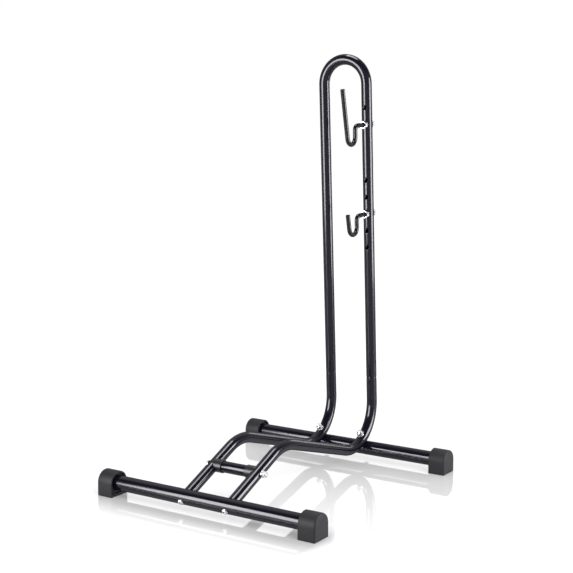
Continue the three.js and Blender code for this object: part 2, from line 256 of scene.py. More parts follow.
class Shade:
    """The nodes of one finish. add() makes a node from its type, its settings, which are set
    first, and the values or links of its sockets."""

    def __init__(self, name, owner=None):
        self.owner = owner or bpy.data.materials.new(name)
        self.owner.use_nodes = True
        self.tree = self.owner.node_tree
        self.tree.nodes.clear()

    def add(self, kind, settings=None, sockets=None):
        node = self.tree.nodes.new(kind)
        for name, value in (settings or {}).items():
            setattr(node, name, value)
        for name, value in (sockets or {}).items():
            value = value.socket if isinstance(value, Number) else value
            if isinstance(value, bpy.types.NodeSocket):
                self.tree.links.new(value, node.inputs[name])
            else:
                node.inputs[name].default_value = value
        return node

    def noise(self, scale, detail, stretch=(1, 1, 1)):
        """Cloudy noise from 0 to 1 on the object's own coordinates, with lumps of 1/scale metres."""
        place = self.add("ShaderNodeTexCoord").outputs["Object"]
        place = self.add("ShaderNodeMapping", {}, {"Vector": place, "Scale": stretch}).outputs[0]
        cloud = self.add("ShaderNodeTexNoise", {}, {"Vector": place, "Scale": scale, "Detail": detail})
        return Number(self, cloud.outputs[0])

    def tint(self, share, dark, light):
        """A colour between two, by a share from 0 to 1."""
        sockets = {0: share, 6: (*dark, 1), 7: (*light, 1)}
        return self.add("ShaderNodeMix", {"data_type": "RGBA"}, sockets).outputs[2]

    def bump(self, height, depth):
        """A bumped normal from a height of 0 to 1 that stands for a depth in metres."""
        sockets = {"Height": height, "Distance": depth, "Strength": 1.0}
        return self.add("ShaderNodeBump", {}, sockets).outputs[0]

    def slant(self):
        """How far the surface turns from the eye: 0 where it faces it, and 1 where it is edge on."""
        return self.add("ShaderNodeLayerWeight", {}, {"Blend": 0.5}).outputs["Facing"]

    def fade(self, value, start, end, at_start, at_end, eased=False):
        """A number that goes from one level to another while a value goes from start to end."""
        ease = "SMOOTHSTEP" if eased else "LINEAR"
        sockets = {"Value": value, "From Min": start, "From Max": end, "To Min": at_start, "To Max": at_end}
        return Number(self, self.add("ShaderNodeMapRange", {"interpolation_type": ease}, sockets).outputs[0])

    def lacquer(self, at_rim):
        """The share of a clear top coat: 1 where the surface faces the eye, and less at its rim."""
        return self.fade(self.slant(), LACQUER_FULL, LACQUER_RIM, 1.0, at_rim, eased=True)

    def surface(self, **sockets):
        """The Principled shader of the finish, and the material that holds it."""
        sockets = {name.replace("_", " "): value for name, value in sockets.items()}
        shader = self.add("ShaderNodeBsdfPrincipled", {}, sockets)
        self.add("ShaderNodeOutputMaterial", {}, {"Surface": shader.outputs[0]})
        return self.owner


def powder_coat():
    """Gloss black powder: near black with a faint cloud and the low ripple of orange peel, under
    a clear coat that shows less at the rims."""
    shade = Shade("black_powder_coat")
    cloud = shade.noise(22, 3)
    ripple = shade.noise(420, 2)
    grain = shade.noise(2400, 1)
    return shade.surface(
        Base_Color=shade.tint(cloud, (0.0050, 0.0046, 0.0105), (0.0080, 0.0074, 0.0145)),
        Roughness=0.13 + 0.05 * cloud + 0.02 * grain,
        Normal=shade.bump(ripple, 0.000012),
        Specular_IOR_Level=0.0,
        Coat_Weight=shade.lacquer(0.12),
        Coat_Roughness=0.13,
        Coat_IOR=1.28,
    )


black_coat = powder_coat()

BASE_TUBE_RADIUS = 12.7
BASE_TUBE_WALL = 1.5
BASE_TUBE_HALF = 210.7
BASE_TUBE_SIDES = 96
BASE_TUBE_SPACING = 8.0
TUBE_EDGE = 0.5
BORE_EDGE = 0.3
LEG_X = 44.0
BOLT_HOLE_RADIUS = 3.3
BOLT_HOLE_LIP = 0.3
RAMP_ANGLE = np.radians(24.4)
BEND_RADIUS = 75.0
DECK_ANGLE = np.radians(-16.1)
KNEE_RADIUS = 90.0
POST_LEAN = np.radians(2.95)
RAMP_LENGTH = 165.3
DECK_LENGTH = 313.9

front_axis = middle("front_base_tube") * (Y + Z)
rear_axis = middle("rear_base_tube") * (Y + Z)
ramp_up = np.cos(RAMP_ANGLE) * Y + np.sin(RAMP_ANGLE) * Z

# A side tube's line: ramp, knee, deck, rear bend and post. A bend starts short of its corner by
# its radius times the tangent of half the turn.
knee_turn = RAMP_ANGLE - DECK_ANGLE
rear_turn = np.pi / 2 + POST_LEAN - DECK_ANGLE
knee_setback = KNEE_RADIUS * np.tan(knee_turn / 2)
rear_setback = BEND_RADIUS * np.tan(rear_turn / 2)
side_legs = [
    (RAMP_LENGTH - knee_setback, 0.0),
    (KNEE_RADIUS * knee_turn, -knee_turn),
    (DECK_LENGTH - knee_setback - rear_setback, 0.0),
    (BEND_RADIUS * rear_turn, rear_turn),
    (1.0, 0.0),
]
side_line = bent_line(front_axis, Y, Z, side_legs, RAMP_ANGLE)
bend_start = sum(length for length, turn in side_legs[:3])
bend_end = bend_start + side_legs[3][0]
bend_point, bend_normal, _ = side_line(bend_start)
bend_centre = bend_point + BEND_RADIUS * bend_normal
rear_up = unit(bend_centre - rear_axis)

for node, axis, bolt_way in (
    ("front_base_tube", front_axis, ramp_up),
    ("rear_base_tube", rear_axis, rear_up),
):
    bore = BASE_TUBE_RADIUS - BASE_TUBE_WALL
    outline = profile([
        (-BASE_TUBE_HALF, bore, BORE_EDGE),
        (-BASE_TUBE_HALF, BASE_TUBE_RADIUS, TUBE_EDGE),
        (BASE_TUBE_HALF, BASE_TUBE_RADIUS, TUBE_EDGE),
        (BASE_TUBE_HALF, bore, BORE_EDGE),
    ], spacing=BASE_TUBE_SPACING)
    rings = carried(straight_line(axis, X, Z), *outline, BASE_TUBE_SIDES)
    tube = skin(f"{node}_finished", rings, closed=True)
    cut_away(tube, skin("drill", *[
        drilled(axis + shift * X, way * bolt_way, X, BOLT_HOLE_RADIUS, BASE_TUBE_RADIUS, BOLT_HOLE_LIP)
        for shift in (-LEG_X, LEG_X)
        for way in (-1, 1)
    ]))
    smooth(tube, black_coat)
    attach(tube, "rack")
    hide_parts(node)

# ---- foot caps ----
# Four moulded caps of dark grey plastic stand on the floor and take the ends of the base tubes.
# Each is an arch over a flat sole, with rounded edges at its outer end, four grooves along the
# sole, and a socket for the tube inside a shallow recess.
CAP_LENGTH = 31.0
CAP_HALF_DEPTH = 20.0
CAP_AXIS_HEIGHT = 22.0
CAP_END_ROUNDING = 3.0
CAP_SOLE_LIFT = 0.35
CAP_SOLE_CORNER = 1.2
CAP_LEAST_CORNER = 0.2
CAP_INNER_ROUNDING = 0.5
CAP_RIM = 3.0
CAP_RECESS = 4.0
RECESS_FLOOR = -17.0
SOCKET_RADIUS = 13.0
SOCKET_DEPTH = 26.0
SOCKET_LEAD_IN = 0.5
SOCKET_END_GAP = 0.3
FACE_LINE = -19.0
GROOVE_TOP = -20.0
GROOVE_EDGES = np.array([-12.6, -9.6, -5.2, -2.2, 2.2, 5.2, 9.6, 12.6])
TOP_STEPS = 49


def arch(inset, floor):
    """A ring of points in (y, z): a half circle over straight sides, a rounded corner, and a
    flat floor. In a groove the floor is at the groove's top wherever that is the higher."""
    half = CAP_HALF_DEPTH - inset
    corner = max(CAP_SOLE_CORNER - inset, CAP_LEAST_CORNER)
    turn = np.linspace(0, np.pi, TOP_STEPS)
    top = half * np.stack([np.cos(turn), np.sin(turn)], -1)
    turn = np.linspace(0, np.pi / 2, CORNER_STEPS)
    left = np.stack([corner * (1 - np.cos(turn)) - half, floor + corner * (1 - np.sin(turn))], -1)
    raised = max(floor, GROOVE_TOP)
    levels = np.tile([floor, raised, raised, floor], len(GROOVE_EDGES) // 2)
    sole = np.stack([np.repeat(GROOVE_EDGES, 2), levels], -1)
    return np.vstack([top, left, sole, left[::-1] * [-1, 1]])


def foot_cap():
    """Rows of (x, ring): the socket's floor, its wall, the recess, the rim, the outside, the
    rounding x = L - r + r sin a with an inset of r (1 - cos a), and the end face."""
    recess = arch(CAP_RIM, RECESS_FLOOR)
    socket = SOCKET_RADIUS * recess / np.linalg.norm(recess, axis=1, keepdims=True)
    lead_in = socket * (1 + SOCKET_LEAD_IN / SOCKET_RADIUS)
    floor = -CAP_AXIS_HEIGHT
    rows = [
        (SOCKET_DEPTH, 0 * socket),
        (SOCKET_DEPTH, socket),
        (CAP_RECESS + SOCKET_LEAD_IN, socket),
        (CAP_RECESS, lead_in),
        (CAP_RECESS, recess),
    ]
    edge = CAP_INNER_ROUNDING
    for turn in np.linspace(0, np.pi / 2, CORNER_STEPS):
        inset = edge * (1 - np.cos(turn))
        rows.append((edge * (1 - np.sin(turn)), arch(CAP_RIM - inset, RECESS_FLOOR - inset)))
    rows.append((0.0, arch(edge, FACE_LINE)))
    for turn in np.linspace(0, np.pi / 2, CORNER_STEPS):
        inset = edge * (1 - np.sin(turn))
        rows.append((edge * (1 - np.cos(turn)), arch(inset, floor + inset)))
    for turn in np.linspace(0, np.pi / 2, 2 * CORNER_STEPS):
        inset = CAP_END_ROUNDING * (1 - np.cos(turn))
        reach = CAP_LENGTH - CAP_END_ROUNDING * (1 - np.sin(turn))
        rows.append((reach, arch(inset, floor + CAP_SOLE_LIFT * inset)))
    rows += [(CAP_LENGTH, arch(CAP_END_ROUNDING, FACE_LINE)), (CAP_LENGTH, 0 * socket)]
    return np.stack([np.column_stack([np.full(len(ring), x), ring]) for x, ring in rows])


def grey_plastic():
    """Moulded dark grey plastic with the fine grain of an eroded mould, and soft flow clouds."""
    shade = Shade("grey_plastic")
    cloud = shade.noise(45, 3)
    grain = shade.noise(1900, 3)
    return shade.surface(
        Base_Color=shade.tint(cloud, (0.0200, 0.0194, 0.0226), (0.0250, 0.0244, 0.0276)),
        Roughness=0.50 + 0.12 * grain,
        Normal=shade.bump(grain, 0.00003),
        Specular_IOR_Level=0.10,
    )


plastic = grey_plastic()
inner_face = (BASE_TUBE_HALF + SOCKET_END_GAP - SOCKET_DEPTH) * X

for end, axis in (("front", front_axis), ("rear", rear_axis)):
    for side, sign in (("left", -1), ("right", 1)):
        node = f"{end}_{side}_foot_cap"
        cap = skin(f"{node}_finished", axis + (foot_cap() + inner_face) * [sign, sign, 1])
        smooth(cap, plastic)
        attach(cap, "rack")
        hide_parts(node)

# ---- side tubes ----
# One 19 mm steel tube on each side, bent in four legs: it climbs from the front base tube as a
# wheel ramp, turns over at the knee, falls to the rear base tube, and turns up as a post. Its
# foot is coped to the front tube, and its top is swaged down to a spigot for the loop.
TUBE_RADIUS = 9.5
TUBE_WALL = 1.2
TUBE_SIDES = 72
STATION_SPACING = 3.0
SEAM_HEIGHT = 152.5
SWAGE_LENGTH = 6.0
SWAGE_ROUNDING = 2.0
SWAGE_RADIUS = 9.05
SWAGE_EDGE = 0.3
SPIGOT_RADIUS = 8.0
SPIGOT_LENGTH = 42.0
SPIGOT_ROOT = 0.2
COPE_GAP = 0.12
CROSS_DISTANCE = 84.5

post_foot = side_line(bend_end)[0]
seam = bend_end + (SEAM_HEIGHT - post_foot[2]) / np.cos(POST_LEAN)
seam_point = side_line(seam)[0]
cross_point = side_line(CROSS_DISTANCE)[0]
rear_section = bend_centre - BEND_RADIUS * rear_up
side_outline = profile([
    (0.0, TUBE_RADIUS - TUBE_WALL, 0),
    (0.0, TUBE_RADIUS, 0),
    (seam - SWAGE_LENGTH, TUBE_RADIUS, SWAGE_ROUNDING),
    (seam - SWAGE_EDGE, SWAGE_RADIUS, SWAGE_EDGE),
    (seam, SPIGOT_RADIUS, SPIGOT_ROOT),
    (seam + SPIGOT_LENGTH, SPIGOT_RADIUS, TUBE_EDGE),
    (seam + SPIGOT_LENGTH, SPIGOT_RADIUS - TUBE_WALL, BORE_EDGE),
    (seam, SPIGOT_RADIUS - TUBE_WALL, SWAGE_ROUNDING),
    (seam - SWAGE_LENGTH, TUBE_RADIUS - TUBE_WALL, SWAGE_ROUNDING),
], spacing=STATION_SPACING)
cope_outline = profile([
    (-LEG_X, 0, 0),
    (-LEG_X, BASE_TUBE_RADIUS + COPE_GAP, 0),
    (LEG_X, BASE_TUBE_RADIUS + COPE_GAP, 0),
    (LEG_X, 0, 0),
], closed=False)

for side, sign in (("left", -1), ("right", 1)):
    node = f"{side}_side_tube"
    shift = sign * LEG_X * X
    line = bent_line(front_axis + shift, Y, Z, side_legs, RAMP_ANGLE)
    tube = skin(f"{node}_finished", carried(line, *side_outline, TUBE_SIDES), closed=True)
    drill = skin("drill", *[
        drilled(at + shift, way * out, along, BOLT_HOLE_RADIUS, TUBE_RADIUS, BOLT_HOLE_LIP)
        for at, out, along in ((cross_point, X, ramp_up), (rear_section, rear_up, np.cross(X, rear_up)))
        for way in (-1, 1)
    ])
    cope_line = straight_line(front_axis + shift, X, Z)
    cope = skin("cope", carried(cope_line, *cope_outline, BASE_TUBE_SIDES))
    cut_away(tube, drill, cope)
    smooth(tube, black_coat)
    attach(tube, "rack")
    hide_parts(node)

# ---- loop ----
# The upright part is one more 19 mm tube, bent round in a half circle and pushed down over the
# spigots of both posts. Its right leg is drilled right through in seven places, so that a hook
# can sit at different heights. Each hole's edge is rounded by the powder coat.
HOOK_HOLE_RADIUS = 4.3
HOOK_HOLE_LIP = 0.45
HOLE_PITCH = 30.4
RACK_HEIGHT = 740.0
UPPER_HOLE_HEIGHT = 615.0
UPPER_HOLES = 2
LOWER_HOLE_HEIGHT = 394.7
LOWER_HOLES = 5
LOOP_SEAT = 0.3
LOOP_EDGE = 0.45

loop_up = np.cos(POST_LEAN) * Z - np.sin(POST_LEAN) * Y
loop_back = np.cos(POST_LEAN) * Y + np.sin(POST_LEAN) * Z
leg_top = (RACK_HEIGHT - TUBE_RADIUS - SEAM_HEIGHT) / np.cos(POST_LEAN) - LEG_X
loop_legs = [(leg_top, 0.0), (np.pi * LEG_X, -np.pi), (leg_top, 0.0)]
loop_length = 2 * leg_top + np.pi * LEG_X
loop_line = bent_line(seam_point - LEG_X * X, X, loop_up, loop_legs, np.pi / 2)
hole_heights = [UPPER_HOLE_HEIGHT + step * HOLE_PITCH for step in range(UPPER_HOLES)]
hole_heights += [LOWER_HOLE_HEIGHT + step * HOLE_PITCH for step in range(LOWER_HOLES)]


def in_leg(height):
    """The point in the middle of the loop's right leg at a height above the floor."""
    return seam_point + LEG_X * X + (height - SEAM_HEIGHT) / np.cos(POST_LEAN) * loop_up


loop_outline = profile([
    (LOOP_SEAT, TUBE_RADIUS - TUBE_WALL, BORE_EDGE),
    (LOOP_SEAT, TUBE_RADIUS, LOOP_EDGE),
    (loop_length - LOOP_SEAT, TUBE_RADIUS, LOOP_EDGE),
    (loop_length - LOOP_SEAT, TUBE_RADIUS - TUBE_WALL, BORE_EDGE),
], spacing=STATION_SPACING)
loop = skin("loop_tube_finished", carried(loop_line, *loop_outline, TUBE_SIDES), closed=True)
cut_away(loop, skin("drill", *[
    drilled(in_leg(height), way * loop_back, loop_up, HOOK_HOLE_RADIUS, TUBE_RADIUS, HOOK_HOLE_LIP)
    for height in hole_heights
    for way in (-1, 1)
]))
smooth(loop, black_coat)
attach(loop, "rack")
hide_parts("loop_tube")

# ---- cross tube and collars ----
# A short 19 mm tube keeps the ramps apart. At each end it sits in a black plastic collar, which
# is a socket on one side and a saddle on the other that hugs the ramp. One long bolt through the
# ramps, the collars and the tube holds them.
COLLAR_RADIUS = 11.0
COLLAR_START = 24.0
COLLAR_END = 42.0
COLLAR_SHOULDER = 30.2
COLLAR_SOCKET_RADIUS = 9.65
COLLAR_SOCKET_EDGE = 0.2
COLLAR_EDGE = 0.45
COLLAR_SPACING = 2.0
CROSS_TUBE_HALF = 29.9
CROSS_TUBE_EDGE = 0.4

cross_outline = profile([
    (-CROSS_TUBE_HALF, TUBE_RADIUS - TUBE_WALL, BORE_EDGE),
    (-CROSS_TUBE_HALF, TUBE_RADIUS, CROSS_TUBE_EDGE),
    (CROSS_TUBE_HALF, TUBE_RADIUS, CROSS_TUBE_EDGE),
    (CROSS_TUBE_HALF, TUBE_RADIUS - TUBE_WALL, BORE_EDGE),
])
cross_line = straight_line(cross_point, X, Z)
cross_tube = skin("cross_tube_finished", carried(cross_line, *cross_outline, TUBE_SIDES), closed=True)
smooth(cross_tube, black_coat)
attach(cross_tube, "rack")
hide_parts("cross_tube")


def black_plastic():
    """Black nylon, satin where the mould was polished, with a faint grain."""
    shade = Shade("collar_plastic")
    cloud = shade.noise(80, 2)
    grain = shade.noise(1500, 2)
    return shade.surface(
        Base_Color=shade.tint(cloud, (0.012, 0.012, 0.015), (0.018, 0.018, 0.022)),
        Roughness=0.30 + 0.10 * grain,
        Normal=shade.bump(grain, 0.000012),
        Specular_IOR_Level=0.22,
    )


collar_plastic = black_plastic()
collar_outline = profile([
    (COLLAR_START, COLLAR_SOCKET_RADIUS, COLLAR_SOCKET_EDGE),
    (COLLAR_START, COLLAR_RADIUS, COLLAR_EDGE),
    (COLLAR_END, COLLAR_RADIUS, COLLAR_EDGE),
    (COLLAR_END, BOLT_HOLE_RADIUS, 0),
    (COLLAR_SHOULDER, BOLT_HOLE_RADIUS, 0),
    (COLLAR_SHOULDER, COLLAR_SOCKET_RADIUS, 0),
], spacing=COLLAR_SPACING)
saddle_outline = profile([
    (-LEG_X, 0, 0),
    (-LEG_X, COLLAR_SOCKET_RADIUS, 0),
    (LEG_X, COLLAR_SOCKET_RADIUS, 0),
    (LEG_X, 0, 0),
], closed=False)

for side, sign in (("left", -1), ("right", 1)):
    node = f"{side}_cross_tube_collar"
    line = straight_line(cross_point, sign * X, Z)
    collar = skin(f"{node}_finished", carried(line, *collar_outline, TUBE_SIDES), closed=True)
    ramp_line = straight_line(cross_point + sign * LEG_X * X, ramp_up, X)
    cut_away(collar, skin("saddle", carried(ramp_line, *saddle_outline, TUBE_SIDES)))
    smooth(collar, collar_plastic)
    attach(collar, "rack")
    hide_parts(node)

# ---- bolts, washers and nuts ----
# Zinc-plated M6 button-head bolts with a hexagon socket. Two run through the front base tube into
# an insert in each ramp, and two come up through the rear bends. One long bolt crosses both ramps.
# The last three end in a washer and a nut, and the long one has a washer under its head as well.
BOLT_RADIUS = 3.0
BOLT_PITCH = 1.0
BOLT_THREAD_DEPTH = 0.55
BOLT_THREAD_LENGTH = 14.0
BOLT_HEAD_RADIUS = 5.25
BOLT_HEAD_HEIGHT = 3.3
BOLT_HEAD_EDGE = 0.4
BOLT_TOP_RADIUS = 2.75
BOLT_SOCKET_WIDTH = 4.0
BOLT_SOCKET_FLOOR = -1.3
BOLT_SOCKET_EDGE = 0.12
BOLT_TIP_CHAMFER = 0.75
BOLT_SIDES = 72
DOME_STEPS = 9
THREAD_ROWS_PER_TURN = 8
THREAD_STEEPNESS = 1.3
THREAD_FLAT = 0.15
SEAT = 0.3
WASHER_RADIUS = 6.0
WASHER_THICKNESS = 1.6
WASHER_EDGE = 0.35
WASHER_BORE_EDGE = 0.15
BOLT_NUT_WIDTH = 10.0
BOLT_NUT_HEIGHT = 5.0
BOLT_END_PROUD = 3.5
INSERT_LENGTH = 24.0
INSERT_REST = 4.0
NUT_CORNER_ANGLE = np.pi / 6
NUT_FACE_SHARE = 0.475
NUT_SINK_SHARE = 0.06
NUT_CREASE = 22
STEEP = 0.9


def any_normal(direction):
    """A direction square to another: up, or to the rear where that one is steep, less the part of
    it that lies along that one."""
    helper = Z if abs(direction[2]) < STEEP else Y
    return unit(helper - helper @ direction * direction)


def hexagon(width, sides):
    """The reach of a hexagon at each column's angle: half its width over the cosine of the
    angle from the middle of the nearest flat."""
    angle = 2 * np.pi * (np.arange(sides) + 0.5) / sides
    return width / 2 / np.cos(angle % (np.pi / 3) - np.pi / 6)


def thread(distance, begin, end, pitch, depth, sides):
    """How far a thread cuts in at each distance and angle: a V-shaped wave of the distance in
    pitches less the angle in turns, flat at its crest and root, that runs out over one pitch."""
    angle = (np.arange(sides) + 0.5) / sides
    wave = 2 * np.abs((distance / pitch - angle) % 1 - 0.5)
    run_out = np.clip((distance - begin) / pitch, 0, 1) * (distance <= end)
    return depth * np.clip(THREAD_STEEPNESS * wave - THREAD_FLAT, 0, 1) * run_out


def button_bolt(name, seat, direction, length):
    """Rows of (distance, radius): the socket's floor and six walls, the flat top, the dome
    R sqrt(1 - k d^2), the underside, the shank, and the thread with a chamfered tip."""
    socket = hexagon(BOLT_SOCKET_WIDTH, BOLT_SIDES)
    round_row = np.ones(BOLT_SIDES)
    dome_depth = np.linspace(1, 0, DOME_STEPS)
    flattening = 1 - (BOLT_TOP_RADIUS / BOLT_HEAD_RADIUS) ** 2
    dome = BOLT_HEAD_RADIUS * np.sqrt(1 - flattening * dome_depth**2)
    begin = length - BOLT_THREAD_LENGTH
    turns = np.arange(begin, length, BOLT_PITCH / THREAD_ROWS_PER_TURN)
    cut_in = thread(turns[:, None], begin, length, BOLT_PITCH, BOLT_THREAD_DEPTH, BOLT_SIDES)
    tip = np.minimum(BOLT_RADIUS, length + BOLT_RADIUS - BOLT_TIP_CHAMFER - turns)[:, None]
    distance = np.concatenate([
        [BOLT_SOCKET_FLOOR, BOLT_SOCKET_FLOOR, -BOLT_HEAD_HEIGHT + BOLT_SOCKET_EDGE, -BOLT_HEAD_HEIGHT],
        -BOLT_HEAD_HEIGHT * dome_depth,
        [0.0, 0.0],
        turns,
        [length, length],
    ])
    radius = np.vstack([
        0 * socket,
        socket,
        socket,
        socket + BOLT_SOCKET_EDGE,
        dome[:, None] * round_row,
        (BOLT_HEAD_RADIUS - BOLT_HEAD_EDGE) * round_row,
        BOLT_RADIUS * round_row,
        np.minimum(BOLT_RADIUS - cut_in, tip),
        (BOLT_RADIUS - BOLT_TIP_CHAMFER) * round_row,
        0 * round_row,
    ])
    line = straight_line(seat, direction, any_normal(direction))
    return skin(name, carried(line, distance[:, None], radius, BOLT_SIDES))


def washer(name, seat, direction):
    """A flat ring with rounded rims."""
    outline = profile([
        (0, BOLT_HOLE_RADIUS, WASHER_BORE_EDGE),
        (0, WASHER_RADIUS, WASHER_EDGE),
        (WASHER_THICKNESS, WASHER_RADIUS, WASHER_EDGE),
        (WASHER_THICKNESS, BOLT_HOLE_RADIUS, WASHER_BORE_EDGE),
    ])
    line = straight_line(seat, direction, any_normal(direction))
    return skin(name, carried(line, *outline, BOLT_SIDES), closed=True)


def hexagon_nut(name, seat, direction, width, height, bore):
    """A nut whose corners are turned off at 30 degrees: the cone meets the six flats at a
    distance of (hexagon - face radius) * tan 30 from each face, which gives the curved edges."""
    corner = hexagon(width, BOLT_SIDES)
    round_row = np.ones(BOLT_SIDES)
    face = NUT_FACE_SHARE * width
    drop = (corner - face) * np.tan(NUT_CORNER_ANGLE)
    sink = NUT_SINK_SHARE * width
    distance = [sink * round_row, 0 * round_row, 0 * round_row, drop]
    radius = [bore * round_row, (bore + sink) * round_row, face * round_row, corner]
    distance = np.array(distance + [height - row for row in distance[::-1]])
    radius = np.array(radius + radius[::-1])
    line = straight_line(seat, direction, any_normal(direction))
    return skin(name, carried(line, distance, radius, BOLT_SIDES), closed=True)


def bright_zinc():
    """Bright zinc plate: pale metal with a faint cloud in the plating and fine handling marks."""
    shade = Shade("bright_zinc")
    cloud = shade.noise(160, 3)
    marks = shade.noise(900, 3, (1, 1, 6))
    return shade.surface(
        Base_Color=shade.tint(cloud, (0.40, 0.40, 0.42), (0.54, 0.54, 0.56)),
        Metallic=1.0,
        Roughness=0.28 + 0.12 * marks,
        Normal=shade.bump(marks, 0.00001),
    )


zinc = bright_zinc()

front_seat = front_axis - (BASE_TUBE_RADIUS + SEAT) * ramp_up
front_bolt_length = 2 * BASE_TUBE_RADIUS + 4 * SEAT + INSERT_LENGTH - INSERT_REST
rear_seat = rear_axis - (BASE_TUBE_RADIUS + SEAT) * rear_up
rear_top = 2 * BASE_TUBE_RADIUS + 2 * TUBE_RADIUS + 3 * SEAT
rear_nut_at = rear_top + WASHER_THICKNESS + SEAT
rear_bolt_length = rear_nut_at + SEAT + BOLT_NUT_HEIGHT + BOLT_END_PROUD
cross_face = LEG_X + TUBE_RADIUS + SEAT
cross_nut_at = cross_face + WASHER_THICKNESS + SEAT
cross_bolt_length = 2 * cross_face + 2 * (SEAT + WASHER_THICKNESS) + BOLT_NUT_HEIGHT + BOLT_END_PROUD
left_washer_seat = cross_point - (cross_face + WASHER_THICKNESS) * X
right_washer_seat = cross_point + cross_face * X
bolt_nut_size = (BOLT_NUT_WIDTH, BOLT_NUT_HEIGHT, BOLT_HOLE_RADIUS)

fasteners = {
    "cross_bolt": button_bolt("cross_bolt_finished", cross_point - cross_nut_at * X, X, cross_bolt_length),
    "left_cross_washer": washer("left_cross_washer_finished", left_washer_seat, X),
    "right_cross_washer": washer("right_cross_washer_finished", right_washer_seat, X),
    "cross_nut": hexagon_nut("cross_nut_finished", cross_point + cross_nut_at * X, X, *bolt_nut_size),
}
for side, sign in (("left", -1), ("right", 1)):
    shift = sign * LEG_X * X
    washer_seat = rear_seat + shift + rear_top * rear_up
    nut_seat = rear_seat + shift + rear_nut_at * rear_up
    name = f"{side}_front_bolt"
    fasteners[name] = button_bolt(f"{name}_finished", front_seat + shift, ramp_up, front_bolt_length)
    name = f"{side}_rear_bolt"
    fasteners[name] = button_bolt(f"{name}_finished", rear_seat + shift, rear_up, rear_bolt_length)
    name = f"{side}_rear_washer"
    fasteners[name] = washer(f"{name}_finished", washer_seat, rear_up)
    name = f"{side}_rear_nut"
    fasteners[name] = hexagon_nut(f"{name}_finished", nut_seat, rear_up, *bolt_nut_size)
    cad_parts[f"{side}_ramp_insert"].material_slots[0].material = zinc

for node, fastener in fasteners.items():
    smooth(fastener, zinc, NUT_CREASE)
    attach(fastener, "rack")
    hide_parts(node)

# ---- hooks and their nuts ----
# Two 8 mm steel rods, bent cold to hold a wheel rim: an elbow down, a round bowl, and a tip that
# leans away. The straight end is threaded M8 and goes through the leg between two zinc-plated
# nuts, which let the hook turn once they are slack. The rod is dipped in a satin black coat.
ROD_RADIUS = 4.0
ROD_SIDES = 48
ROD_SPACING = 1.2
HOOK_REACH = 42.5
HOOK_DROP = 32.0
UPPER_TIP_HEIGHT = 65.0
LOWER_TIP_HEIGHT = 5.5
ELBOW_RADIUS = 8.0
BOWL_RADIUS = 13.2
TIP_LEAN = np.radians(9.0)
HOOK_NUT_WIDTH = 13.0
HOOK_NUT_HEIGHT = 6.5
HOOK_END_PROUD = 3.5
HOOK_PITCH = 1.25
HOOK_THREAD_DEPTH = 0.62
HOOK_THREAD_SLACK = 0.05
HOOK_CHAMFER = 0.8
TIP_ROUNDING = 0.6


def hook_coat():
    """Satin black coat on the rods, rougher than the tubes' and without the ripple of orange peel."""
    shade = Shade("hook_coating")
    cloud = shade.noise(60, 3)
    grain = shade.noise(1300, 2)
    return shade.surface(
        Base_Color=shade.tint(cloud, (0.0040, 0.0039, 0.0052), (0.0075, 0.0073, 0.0092)),
        Roughness=0.26 + 0.08 * grain,
        Normal=shade.bump(grain, 0.00001),
        Specular_IOR_Level=0.0,
        Coat_Weight=shade.lacquer(0.3),
        Coat_Roughness=0.17,
        Coat_IOR=1.28,
    )


hook_finish = hook_coat()
hook_back_end = TUBE_RADIUS + 2 * SEAT + HOOK_NUT_HEIGHT + HOOK_END_PROUD
thread_end = hook_back_end + TUBE_RADIUS + 2 * SEAT + HOOK_NUT_HEIGHT
hook_nut_size = (HOOK_NUT_WIDTH, HOOK_NUT_HEIGHT, HOOK_HOLE_RADIUS)

for which, height, tip in (
    ("upper", UPPER_HOLE_HEIGHT, UPPER_TIP_HEIGHT),
    ("lower", LOWER_HOLE_HEIGHT + 2 * HOLE_PITCH, LOWER_TIP_HEIGHT),
):
    origin = in_leg(height)
    body = f"{which}_hook_body"
    bowl_turn = np.pi - TIP_LEAN
    bowl_end = BOWL_RADIUS - HOOK_DROP - BOWL_RADIUS * np.sin(TIP_LEAN)
    legs = [
        (hook_back_end + HOOK_REACH - ELBOW_RADIUS, 0.0),
        (ELBOW_RADIUS * np.pi / 2, np.pi / 2),
        (HOOK_DROP - ELBOW_RADIUS - BOWL_RADIUS, 0.0),
        (BOWL_RADIUS * bowl_turn, -bowl_turn),
        ((tip - bowl_end) / np.cos(TIP_LEAN), 0.0),
    ]
    length = sum(leg for leg, turn in legs)
    line = bent_line(origin + hook_back_end * loop_back, loop_back, loop_up, legs, np.pi)
    turns = np.arange(0, thread_end, HOOK_PITCH / THREAD_ROWS_PER_TURN)[:, None]
    cut_in = thread(turns, -HOOK_PITCH, thread_end - HOOK_PITCH, HOOK_PITCH, HOOK_THREAD_DEPTH, ROD_SIDES)
    threaded = np.minimum(ROD_RADIUS - HOOK_THREAD_SLACK - cut_in, ROD_RADIUS - HOOK_CHAMFER + turns)
    distance, radius = profile([
        (thread_end, ROD_RADIUS, 0),
        (length, ROD_RADIUS, TIP_ROUNDING),
        (length, 0, 0),
    ], spacing=ROD_SPACING, closed=False)
    round_rows = np.ones((1, ROD_SIDES))
    distance = np.vstack([[[0.0]], turns, distance])
    radius = np.vstack([0 * round_rows, threaded, radius * round_rows])
    rod = skin(f"{which}_hook_finished", carried(line, distance, radius, ROD_SIDES))
    smooth(rod, hook_finish)
    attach(rod, body)
    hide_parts(f"{which}_hook")
    for where, way in (("front", -1), ("back", 1)):
        node = f"{which}_hook_{where}_nut"
        seat = origin + way * (TUBE_RADIUS + SEAT) * loop_back
        nut = hexagon_nut(f"{node}_finished", seat, way * loop_back, *hook_nut_size)
        smooth(nut, zinc, NUT_CREASE)
        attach(nut, body)
        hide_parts(node)

